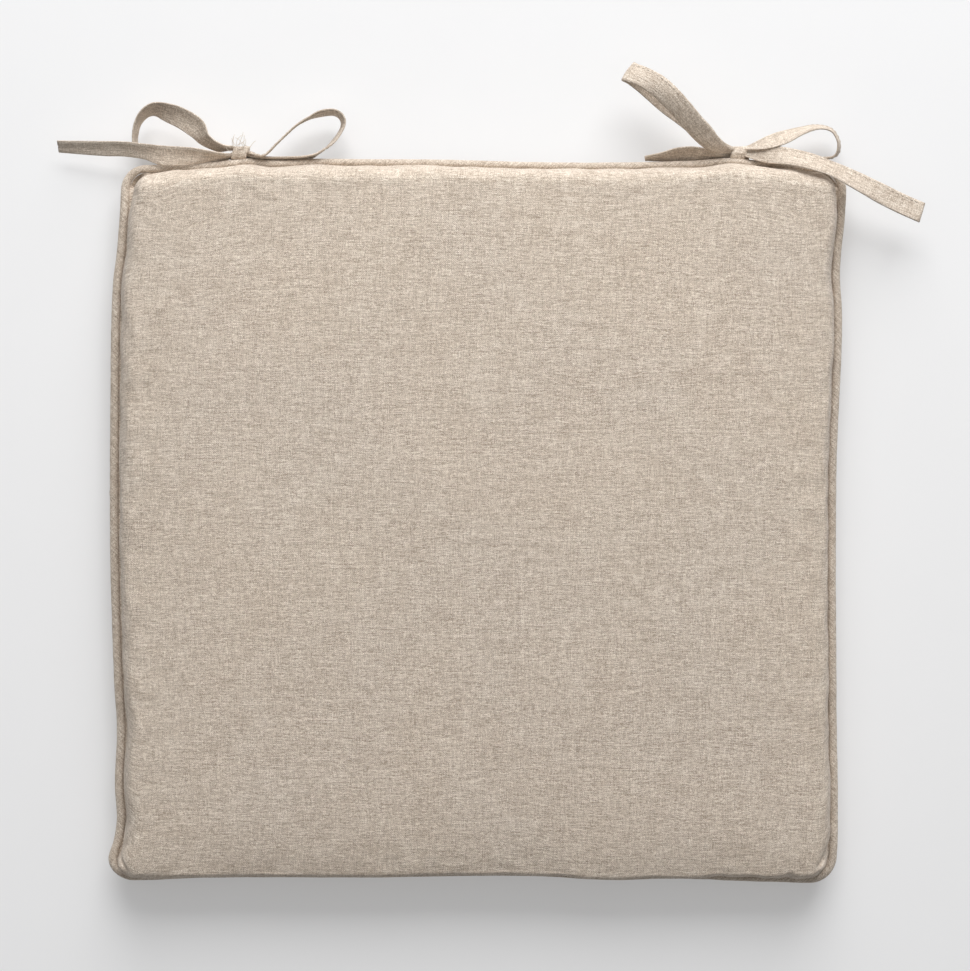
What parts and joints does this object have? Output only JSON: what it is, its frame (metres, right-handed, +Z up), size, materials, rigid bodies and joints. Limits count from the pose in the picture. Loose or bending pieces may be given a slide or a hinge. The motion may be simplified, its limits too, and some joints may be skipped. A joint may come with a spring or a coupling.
{
  "type": "tie-on seat cushion",
  "caption": "Thin square foam seat pad in a piped linen cover with a zip along the back edge, tied in bows near its two back corners to hold it to a chair.",
  "frame": {"origin": "centre of the underside, on the surface that the cushion lies on", "axes": "+Z up through the seat face, +X across the width, +Y towards the back edge with the zip and the ties"},
  "size_m": [0.4779, 0.4469, 0.0404],
  "materials": {
    "linen": "natural undyed linen, plain weave with slubs, matte",
    "cotton_cord": "twisted cotton piping cord",
    "foam": "open-cell polyurethane foam",
    "wadding": "white polyester wadding",
    "zip_tape": "woven tape dyed to match the cover",
    "zip_nylon": "coiled nylon monofilament",
    "zip_metal": "plated zinc, satin",
    "label": "blank white satin tape"
  },
  "bodies": {
    "cushion": {"top_panel": "linen", "bottom_panel": "linen", "piping_cover": "linen", "piping_cord": "cotton_cord", "foam_core": "foam", "wadding_top": "wadding", "wadding_bottom": "wadding", "zip_tape_upper": "zip_tape", "zip_tape_lower": "zip_tape", "zip_coil_upper": "zip_nylon", "zip_coil_lower": "zip_nylon", "zip_top_stop": "zip_metal", "zip_bottom_stop": "zip_metal", "care_label": "label", "left_tie_base": "linen", "left_knot": "linen", "left_short_tail": "linen", "right_tie_base": "linen", "right_knot": "linen", "right_short_tail": "linen"},
    "slider": {"zip_slider": "zip_metal"},
    "pull": {"zip_pull": "zip_metal"},
    "left_bow_outer": {"left_outer_loop": "linen", "left_long_tail": "linen"},
    "left_bow_inner": {"left_inner_loop": "linen"},
    "right_bow_inner": {"right_inner_loop": "linen"},
    "right_bow_outer": {"right_outer_loop": "linen", "right_long_tail": "linen"}
  },
  "joints": [
    {"name": "zip_slide", "type": "slide", "parent": "cushion", "child": "slider", "axis": [-1, 0, 0], "range_m": [0, 0.22]},
    {"name": "pull_flip", "type": "hinge", "parent": "slider", "child": "pull", "pos_m": [0.12, 0.1936, 0.0085], "axis": [0, 0, -1], "range_deg": [0, 175]},
    {"name": "left_outer_lift", "type": "hinge", "parent": "cushion", "child": "left_bow_outer", "pos_m": [-0.1338, 0.2035, 0.0209], "axis": [0, 1, 0], "range_deg": [0, 70]},
    {"name": "left_inner_lift", "type": "hinge", "parent": "cushion", "child": "left_bow_inner", "pos_m": [-0.1232, 0.2035, 0.0208], "axis": [0, -1, 0], "range_deg": [0, 70]},
    {"name": "right_inner_lift", "type": "hinge", "parent": "cushion", "child": "right_bow_inner", "pos_m": [0.1409, 0.2035, 0.021], "axis": [0, 1, 0], "range_deg": [0, 70]},
    {"name": "right_outer_lift", "type": "hinge", "parent": "cushion", "child": "right_bow_outer", "pos_m": [0.1515, 0.2035, 0.0213], "axis": [0, -1, 0], "range_deg": [0, 70]}
  ]
}
